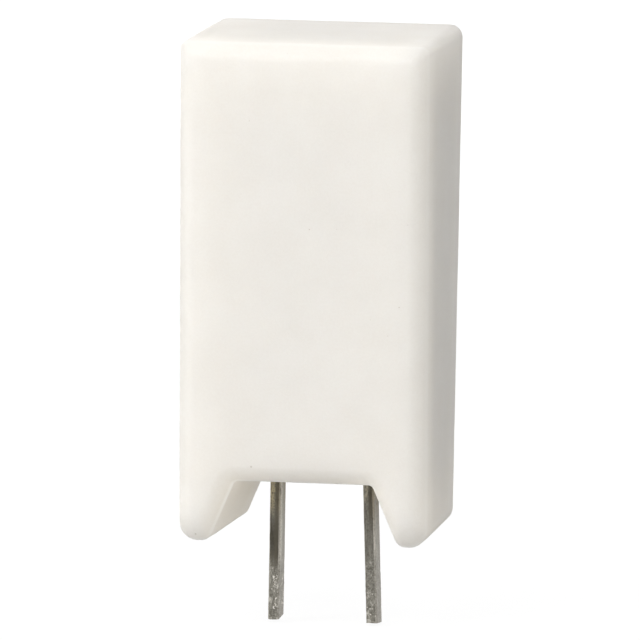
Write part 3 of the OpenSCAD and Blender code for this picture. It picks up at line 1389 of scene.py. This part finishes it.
@dataclass(frozen=True)
class Element:
    """The wound core: a ceramic rod, its two caps and the resistance wire."""

    core_d: float = 3.2
    cap_wall: float = 0.3
    cap_len: float = 3.5
    wire_d: float = 0.25
    wire_pitch: float = 0.7
    wire_gap: float = 0.03
    wire_sides: int = 10
    turn_steps: int = 36
    end_cover: float = 1.2
    weld_gap: float = 0.1
    room_sides: int = 48
    crease: float = 60.0

    @property
    def cap_r(self) -> float:
        """Outer radius of the caps."""
        return self.core_d / 2 + self.cap_wall

    @property
    def room_r(self) -> float:
        """Radius of the room that the winding needs."""
        return self.core_d / 2 + self.wire_gap + self.wire_d

    def place(self, slots: LeadSlots) -> Place:
        """The element's place, x and y."""
        x = -slots.pitch / 2 + slots.lead_t / 2 + self.weld_gap + self.cap_r
        return x, slots.lead_back

    def span(self, case: CeramicCase) -> Place:
        """The element's lower and upper ends."""
        return case.cavity_low + self.end_cover, case.cavity_high - self.end_cover

    def helix(self) -> Recipe:
        """The recipe of the winding: a round wire along a spiral.

        Returns:
            The recipe.
        """
        made = Recipe("winding", {"Turns": "Float", "Radius": "Float", "Climb": "Float",
                                  "Wire Radius": "Float", "Start": "Vector", "Steps": "Int"})
        spiral = made.node("GeometryNodeCurveSpiral", inputs={
            "Reverse": True, "Rotations": made.given("Turns"),
            "Start Radius": made.given("Radius"), "End Radius": made.given("Radius"),
            "Height": made.given("Climb"), "Resolution": made.given("Steps")})
        path = made.node("GeometryNodeTransform",
                         inputs={"Geometry": spiral, "Translation": made.given("Start")})
        section = made.node("GeometryNodeCurvePrimitiveCircle", inputs={
            "Resolution": self.wire_sides, "Radius": made.given("Wire Radius")})
        return made.serve(made.node("GeometryNodeCurveToMesh", inputs={
            "Curve": path, "Profile Curve": section, "Fill Caps": True}))

    def winding(self, case: CeramicCase, slots: LeadSlots) -> bpy.types.Object:
        """Winds the wire over the core.

        Args:
            case: the case that the element lies in.
            slots: the slots that fix the element's place.

        Returns:
            The wire.
        """
        low, high = self.span(case)
        inset = self.cap_len + self.wire_gap + self.wire_d
        low, high = low + inset, high - inset
        x, y = self.place(slots)
        radius = self.core_d / 2 + self.wire_gap + self.wire_d / 2
        wire = self.helix().grow("resistance_wire_turns", bpy.data.meshes.new("wire"), {
            "Turns": float(math.floor((high - low) / self.wire_pitch)), "Radius": radius * MM,
            "Climb": (high - low) * MM, "Wire Radius": self.wire_d / 2 * MM,
            "Start": (x * MM, y * MM, low * MM), "Steps": self.turn_steps,
            "Finish": ALLOY_WIRE.material()})
        smooth(wire, self.crease)
        return wire

    def room(self, case: CeramicCase, slots: LeadSlots) -> bpy.types.Object:
        """A solid that fills the room of the winding and the caps.

        Args:
            case: the case that the element lies in.
            slots: the slots that fix the element's place.

        Returns:
            The solid.
        """
        low, high = self.span(case)
        under, over = low + self.cap_len, high - self.cap_len
        profile = ((self.cap_r, low), (self.cap_r, under), (self.room_r, under),
                   (self.room_r, over), (self.cap_r, over), (self.cap_r, high))
        centre = self.place(slots)
        return solid("element_room", [
            [(x, y, z) for x, y in circle(centre, r, self.room_sides)] for r, z in profile])


# Leads

@dataclass(frozen=True)
class Lead:
    """One flat lead: a path of x over height, sheared at its lower end."""

    name: str
    path: tuple[Place, ...]
    shear: float
    thickness: float
    width: float
    back: float
    cap_low: float
    cap_len: float
    side: int
    seed: float
    edge_r: float = 0.16
    # Share of the edge's rounding that takes the painted highlight.
    highlight_reach: float = 0.5
    end_tilt: float = 0.7
    bend: float = 0.35
    fine_top: float = 3.6
    fine_step: float = 0.07
    coarse_step: float = 0.35
    shear_rings: int = 8
    tip_spacing: float = 0.1
    top_spacing: float = 0.3
    weld_inset: float = 1.1
    weld_d: float = 0.8
    weld_reach: float = 0.12
    weld_sides: int = 24
    waves: tuple[Place, ...] = ((0.006, 0.9),)
    pocks: tuple[Place, ...] = ((0.5, 0.16), (0.5, 0.3))
    drawn_depth: float = 0.004
    dipped_depth: float = 0.013
    dent_top: float = 4.0
    dip_top: float = -1.9
    dip_fade: float = 0.5
    crease: float = 38.0
    bead_r: float = 0.034
    bead_share: float = 0.56
    bead_off: float = 0.1
    bead_pull: float = 0.9
    bead_top: float = -2.42
    bead_low: float = -4.15
    bead_density: float = 60.0
    bead_clusters: float = 2.6
    bead_least: Point = (0.35, 0.5, 0.2)
    bead_most: Point = (1.0, 2.2, 0.5)

    def x_at(self, z: float) -> float:
        """The strip's middle at a height, with its bends eased.

        Args:
            z: the height.

        Returns:
            The middle's x.
        """
        places, heights = zip(*self.path)
        spread = [-1.0, -0.5, 0.0, 0.5, 1.0]
        return float(np.mean([np.interp(z + s * self.bend, heights, places) for s in spread]))

    def sheared(self, y: float) -> float:
        """How far the lower end's cut rises at one depth from the strip's middle."""
        return self.shear * (y / self.width + 0.5)

    def section(self) -> np.ndarray:
        """The strip's outline, x and y.

        Returns:
            The outline's points.
        """
        x, y = self.thickness / 2, self.width / 2
        return rounded([Corner((x, -y), self.edge_r, 6, 9), Corner((x, y), self.edge_r, 6, 2),
                        Corner((-x, y), self.edge_r, 6, 9), Corner((-x, -y), self.edge_r, 6, 2)])

    def strip(self) -> bpy.types.Object:
        """The bare strip along its path.

        Returns:
            The strip.
        """
        low, top = self.path[0][1], self.path[-1][1]
        shape = self.section()
        levels = []
        for k, z in enumerate([*np.arange(low, self.fine_top, self.fine_step),
                               *np.arange(self.fine_top, top, self.coarse_step), top]):
            fade = max(0.0, 1 - k / self.shear_rings)
            levels.append([(self.x_at(z) + x, self.back + y, z + fade * self.sheared(y))
                           for x, y in shape])
        sketch = Sketch()
        rings = sketch.tube(levels)
        sketch.lid([rings[0]], endwise, lambda x, y: (x, y, low + self.sheared(y - self.back)),
                   self.tip_spacing)
        sketch.lid([rings[-1]], endwise, lambda x, y: (x, y, top), self.top_spacing)
        return sketch.build(self.name + "_strip")

    def build(self, finishes: dict[StripFace, bpy.types.Material],
              bead: Optional[bpy.types.Material] = None) -> bpy.types.Object:
        """Builds the lead.

        Args:
            finishes: a material for each kind of face.
            bead: the material of the solder beads, or none for a plain lead without dents.

        Returns:
            The finished lead.
        """
        made = self.strip()
        if bead is not None:
            self.dent(made)
        kinds = list(StripFace)
        for face in made.data.polygons:
            face.material_index = kinds.index(self.kind(face))
        for kind in kinds:
            made.data.materials.append(finishes[kind])
        self.add_welds(made)
        smooth(made, self.crease)
        if bead is not None:
            self.add_beads(made, bead)
        return made

    def add_welds(self, made: bpy.types.Object) -> None:
        """Joins the two welds that hold the strip to its cap.

        Args:
            made: the strip, which the welds are added to.
        """
        for z in (self.cap_low + self.weld_inset, self.cap_low + self.cap_len - self.weld_inset):
            face_x = self.x_at(z) + self.side * self.thickness / 2
            combine(made, solid("weld", [
                [(x, y, up) for y, up in circle((self.back, z), self.weld_d / 2, self.weld_sides)]
                for x in (face_x - self.side * self.edge_r,
                          face_x + self.side * self.weld_reach)]), Join.ADD)

    def kind(self, face: bpy.types.MeshPolygon) -> StripFace:
        """The kind of face that one polygon of the strip belongs to.

        Args:
            face: the polygon.

        Returns:
            Its kind.
        """
        if abs(face.normal.z) > self.end_tilt:
            return StripFace.CUT
        off_x = face.center.x / MM - self.x_at(face.center.z / MM)
        off_y = face.center.y / MM - self.back
        in_x, in_y = self.thickness / 2 - abs(off_x), self.width / 2 - abs(off_y)
        # The rounded edges on the +x side take the brighter edge tones, a painted highlight.
        if off_x > 0 and max(in_x, in_y) < self.edge_r * self.highlight_reach:
            return StripFace.EDGE
        return StripFace.CUT if in_y < in_x else StripFace.PLATED

    def dent(self, made: bpy.types.Object) -> None:
        """Gives the strip its drawn waviness and the solder's uneven coat.

        Args:
            made: the strip.
        """
        shift = Vector((self.seed, self.seed * 2, 0)) * MM

        def reach(place: Vector) -> float:
            """The move of one point.

            Args:
                place: the point's place in metres.

            Returns:
                The move in millimetres.
            """
            if place.z > self.dent_top * MM:
                return 0.0
            dipped = min(1.0, max(0.0, (self.dip_top - place.z / MM) / self.dip_fade))
            pocks = unevenness(place + shift, *self.pocks)
            return unevenness(place + shift, *self.waves) + self.drawn_depth * pocks \
                + dipped * self.dipped_depth * pocks

        roughen(made, reach)

    def beads(self) -> Recipe:
        """The recipe of small uneven solder beads, in clusters over the dipped end.

        Returns:
            The recipe.
        """
        made = Recipe("solder_beads", {
            "Top": "Float", "Bottom": "Float", "Density": "Float", "Bead Radius": "Float",
            "Seed": "Int", "Cluster Scale": "Float", "Cluster Share": "Float",
            "Gather": "Float", "Pull": "Float"})
        place = made.node("GeometryNodeInputPosition")
        x = made.node("ShaderNodeSeparateXYZ", inputs={0: place}, output="X")
        z = x.also("Z")
        cloud = made.node("ShaderNodeTexNoise",
                          inputs={"Vector": place, "Scale": made.given("Cluster Scale")})
        dense = cloud - abs(x - made.given("Gather")) * made.given("Pull")
        chosen = (z < made.given("Top")) & (z > made.given("Bottom")) \
            & (dense > made.given("Cluster Share"))
        points = made.node("GeometryNodeDistributePointsOnFaces", inputs={
            "Mesh": made.given("Geometry"), "Selection": chosen,
            "Density": made.given("Density"), "Seed": made.given("Seed")}, output="Points")
        turn = made.node("FunctionNodeRandomValue", {"data_type": "FLOAT"},
                         {"Max_001": math.tau, "Seed": made.given("Seed")}, "Value")
        spin = made.node("FunctionNodeAxisAngleToRotation", inputs={"Angle": turn})
        lay = made.node("FunctionNodeRotateRotation", {"rotation_space": "LOCAL"},
                        {"Rotation": points.also("Rotation"), "Rotate By": spin})
        drop = made.node("GeometryNodeMeshIcoSphere", inputs={
            "Subdivisions": 2, "Radius": made.given("Bead Radius")}, output="Mesh")
        size = made.node("FunctionNodeRandomValue", {"data_type": "FLOAT_VECTOR"},
                         {0: self.bead_least, 1: self.bead_most, "Seed": made.given("Seed")})
        return made.serve(made.node("GeometryNodeInstanceOnPoints", inputs={
            "Points": points, "Instance": drop, "Rotation": lay, "Scale": size}))

    def add_beads(self, made: bpy.types.Object, bead: bpy.types.Material) -> None:
        """Scatters the solder beads and joins them to the strip's mesh.

        Args:
            made: the strip.
            bead: the beads' material.
        """
        beads = self.beads().grow("beads", made.data.copy(), {
            "Top": self.bead_top * MM, "Bottom": self.bead_low * MM,
            "Density": self.bead_density / MM ** 2, "Bead Radius": self.bead_r * MM,
            "Seed": int(self.seed * 10) + 3, "Cluster Scale": self.bead_clusters / MM,
            "Cluster Share": self.bead_share,
            "Gather": (self.x_at(self.bead_top) + self.bead_off) * MM,
            "Pull": self.bead_pull / MM, "Finish": bead})
        merge(made, beads, bead)


@dataclass(frozen=True)
class LeadPair:
    """The short lead on the lower cap and the long lead, joggled in to reach the upper cap."""

    tip: float = -4.75
    short_splay: float = 0.11
    long_splay: float = 0.23
    short_shear: float = 0.12
    long_shear: float = -0.15
    joggle: float = 1.5

    def leads(self, case: CeramicCase, slots: LeadSlots, element: Element) -> tuple[Lead, Lead]:
        """Lays out the two leads.

        Args:
            case: the case that they leave.
            slots: the slots that they pass.
            element: the element that they are fixed to.

        Returns:
            The short lead and the long one.
        """
        low, high = element.span(case)
        right = slots.pitch / 2
        under = high - element.cap_len
        top_x = element.place(slots)[0] + element.cap_r + element.weld_gap + slots.lead_t / 2
        strip = {"thickness": slots.lead_t, "width": slots.lead_w, "back": slots.lead_back,
                 "cap_len": element.cap_len}
        short = Lead("short_lead", ((-right - self.short_splay, self.tip),
                                    (-right, case.notch_h), (-right, low + element.cap_len)),
                     self.short_shear, **strip, cap_low=low, side=1, seed=1.0,
                     bead_r=0.042, bead_share=0.42)
        long = Lead("long_lead", ((right + self.long_splay, self.tip), (right, case.notch_h),
                                  (right, under - self.joggle), (top_x, under), (top_x, high)),
                    self.long_shear, **strip, cap_low=under, side=-1, seed=7.0,
                    bead_r=0.028, bead_share=0.44, bead_off=0.02, bead_top=-2.75, bead_low=-4.5)
        return short, long


# Cement

@dataclass(frozen=True)
class CementFill:
    """The cement that closes the case: it creeps up the walls and sags in the middle."""

    recess: float = 0.35
    wall_shares: Place = (0.6, 0.3)
    creep: float = 0.18
    creep_w: float = 0.6
    slot_recess: float = 0.15
    spacing: float = 0.13
    floor_spacing: float = 1.5
    lumps: tuple[Place, ...] = ((0.030, 1.9), (0.020, 0.6), (0.014, 0.25))
    calm_w: float = 0.3
    bubbles: int = 34
    bubble_r: Place = (0.13, 0.34)
    bubble_margin: float = 0.6
    bubble_skew: float = 2.5
    bubble_depth: float = 0.6
    bubble_seed: int = 11
    crease: float = 32.0

    def burst_bubbles(self, wall: np.ndarray) -> np.ndarray:
        """The places and radii of the burst air bubbles in the surface.

        Args:
            wall: the outline that holds the cement, x and z.

        Returns:
            One row for each bubble: x, z and radius.
        """
        draw = np.random.default_rng(self.bubble_seed)
        low, high = wall.min(0) + self.bubble_margin, wall.max(0) - self.bubble_margin
        places = draw.uniform(low, high, (self.bubbles, 2))
        small, large = self.bubble_r
        radii = small + (large - small) * draw.random(self.bubbles) ** self.bubble_skew
        return np.column_stack([places, radii])

    def surface(self, place: Place, clear: float, burst: np.ndarray) -> float:
        """How far the cement stands above its flat middle.

        Args:
            place: x and z in millimetres.
            clear: distance to the nearest wall.
            burst: the burst bubbles.

        Returns:
            The rise in millimetres.
        """
        near = max(0.0, 1 - clear / self.creep_w)
        lumps = unevenness(Vector((place[0], 0.0, place[1])) * MM, *self.lumps)
        off = np.hypot(burst[:, 0] - place[0], burst[:, 1] - place[1]) / burst[:, 2]
        hollow = burst[:, 2] * self.bubble_depth * np.clip(1 - off ** 2, 0, 1) ** 0.5
        return self.creep * near ** 2 + lumps * min(1.0, clear / self.calm_w) \
            - float(hollow.max())

    def block(self, case: CeramicCase) -> bpy.types.Object:
        """The cement before anything is set in it.

        Args:
            case: the case that it fills.

        Returns:
            The block.
        """
        level, knee, floor = case.depth / 2 - self.recess, case.knee_y, case.floor_y
        middle = [knee + case.wall_reach * share for share in self.wall_shares]
        walls = [case.cavity_wall(y) for y in (level + self.creep, *middle, knee)]
        sketch = Sketch()
        made = sketch.tube(walls + case.cavity_turn())
        wall = np.array([frontal(p) for p in walls[0]])
        burst = self.burst_bubbles(wall)

        def lift(x: float, z: float) -> Point:
            """A point of the cement's back face."""
            clear = float(distance(np.array([[x, z]]), wall)[0])
            return x, level + self.surface((x, z), clear, burst), z

        sketch.lid([made[0]], frontal, lift, self.spacing)
        sketch.lid([made[-1]], frontal, lambda x, z: (x, floor, z), self.floor_spacing)
        return sketch.build("cement_body")

    def build(self, case: CeramicCase, slots: LeadSlots, element: Element,
              leads: Sequence[bpy.types.Object]) -> bpy.types.Object:
        """Builds the cement.

        Args:
            case: the case that it fills.
            slots: the slots that it fills.
            element: the wound element that it holds.
            leads: plain copies of the leads, which are used up.

        Returns:
            The cement.
        """
        body = self.block(case)
        for tongue in slots.solids(case.notch_h + self.slot_recess, case.slot_top,
                                   case.depth / 2 - self.recess):
            combine(body, tongue, Join.ADD)
        for held in (element.room(case, slots), *leads):
            combine(body, held, Join.CUT)
        smooth(body, self.crease)
        dress(body, SetCement().material())
        for face in body.data.polygons:
            face.material_index = 0
        return body


# Studio

def direction(azimuth: float, elevation: float) -> Vector:
    """The way from the part to a place round it, by its angles in degrees."""
    a, e = math.radians(azimuth), math.radians(elevation)
    return Vector((math.sin(a) * math.cos(e), -math.cos(a) * math.cos(e), math.sin(e)))


@dataclass(frozen=True)
class Softbox:
    """One square lamp that faces the part, placed by its angles round it."""

    name: str
    azimuth: float
    elevation: float
    level: float
    distance: float = 0.5
    size: float = 0.2

    def build(self, aim: Vector) -> None:
        """Makes the lamp.

        Args:
            aim: the point that it faces.
        """
        towards = direction(self.azimuth, self.elevation)
        lamp = bpy.data.lights.new(self.name, "AREA")
        lamp.shape = "SQUARE"
        lamp.size = self.size
        lamp.energy = math.pi ** 2 * self.distance ** 2 * self.level
        made = placed(self.name, lamp)
        made.location = aim + towards * self.distance
        made.rotation_euler = (-towards).to_track_quat("-Z", "Y").to_euler()


@dataclass(frozen=True)
class Studio:
    """The floor, the light and the camera."""

    azimuth: float = 11.4683
    elevation: float = 8.0735
    roll: float = 0.2405
    distance: float = 0.7
    focal_px: float = 13674.7
    image_px: float = 640.0
    sensor_mm: float = 36.0
    clip: Place = (0.01, 20.0)
    aim_right: float = -0.0161
    aim_up: float = -1.874
    ambient: float = 0.30
    lamp_aim: Point = (0.0, 0.0, 0.0125)
    lamps: tuple[Softbox, ...] = (Softbox("high_softbox", -20, 50, 0.250),
                                  Softbox("left_softbox", -60, 20, 0.408),
                                  Softbox("right_softbox", 45, 45, 0.205),
                                  Softbox("low_softbox", 25, 10, 0.080),
                                  Softbox("back_softbox", -150, 50, 0.154))
    floor_reach: float = 2.5

    def camera(self, centre: Vector) -> None:
        """Sets the camera to the photograph's view.

        Args:
            centre: the middle of the case.
        """
        a, r = math.radians(self.azimuth), math.radians(self.roll)
        forward = -direction(self.azimuth, self.elevation)
        level = Vector((math.cos(a), math.sin(a), 0.0))
        upward = level.cross(forward)
        right = level * math.cos(r) + upward * math.sin(r)
        up = upward * math.cos(r) - level * math.sin(r)
        eye = centre - forward * self.distance
        target = centre + right * self.aim_right * MM + up * self.aim_up * MM
        ahead = (target - eye).normalized()
        right = ahead.cross(up).normalized()
        up = right.cross(ahead)
        lens = bpy.data.cameras.new("camera")
        lens.lens = self.focal_px * self.sensor_mm / self.image_px
        lens.sensor_width = self.sensor_mm
        lens.clip_start, lens.clip_end = self.clip
        made = placed("camera", lens)
        turn = Matrix((right, up, -ahead)).transposed()
        made.matrix_world = Matrix.Translation(eye) @ turn.to_4x4()
        bpy.context.scene.camera = made

    def light(self) -> None:
        """Sets the lamps and the room's own light, which is white to the camera."""
        for lamp in self.lamps:
            lamp.build(Vector(self.lamp_aim))
        world = bpy.data.worlds.new("room")
        bpy.context.scene.world = world
        world.use_nodes = True
        room = Graph(world.node_tree)
        seen = room.node("ShaderNodeLightPath", output="Is Camera Ray")
        seen = (seen + seen.also("Is Glossy Ray") + seen.also("Is Transmission Ray")).clamped()
        dim, white = (room.node("ShaderNodeBackground",
                                inputs={"Color": WHITE, "Strength": strength})
                      for strength in (self.ambient, 1.0))
        mixed = room.node("ShaderNodeMixShader", inputs={0: seen, 1: dim, 2: white})
        room.add("ShaderNodeOutputWorld", inputs={"Surface": mixed})

    def floor(self, height: float) -> None:
        """Lays the pale floor.

        Args:
            height: its height in metres.
        """
        far = self.floor_reach
        mesh = bpy.data.meshes.new("floor")
        mesh.from_pydata([(-far, -far, height), (far, -far, height), (far, far, height),
                          (-far, far, height)], [], [(0, 1, 2, 3)])
        mesh.materials.append(FloorSheet().material())
        placed("floor", mesh)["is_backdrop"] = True


# Assembly

def dress_node(name: str, material: bpy.types.Material) -> None:
    """Gives a carried-over frame node its material."""
    dress(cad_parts[name], material)
    LOG.info("%s: kept from the frame", name)


def main() -> None:
    """Builds the part, dresses it and sets up the studio."""
    logging.basicConfig(level=logging.INFO, format="%(name)s %(message)s")
    bpy.context.scene.view_settings.view_transform = "Standard"
    case, slots, element = CeramicCase(), LeadSlots(), Element()
    stand_in(case.build(slots), "ceramic_case")

    leads = LeadPair().leads(case, slots, element)
    strips = [{face: TinnedStrip(face, wear).material() for face in StripFace}
              for wear in (SHORT_WEAR, LONG_WEAR)]
    plain = [lead.build(strip) for lead, strip in zip(leads, strips)]
    stand_in(CementFill().build(case, slots, element, plain), "cement_fill")

    bead = SOLDER_BEAD.material()
    for lead, strip in zip(leads, strips):
        stand_in(lead.build(strip, bead), lead.name)

    stand_in(element.winding(case, slots), "resistance_wire")
    plate = NICKEL_PLATE.material()
    dress_node("upper_end_cap", plate)
    dress_node("lower_end_cap", plate)
    dress_node("core_rod", CORE_CERAMIC.material())

    studio = Studio()
    studio.camera(Vector((0.0, 0.0, case.height / 2 * MM)))
    studio.light()
    low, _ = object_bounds()
    studio.floor(low.z - FLOOR_GAP * MM)


if __name__ == "__main__":
    main()
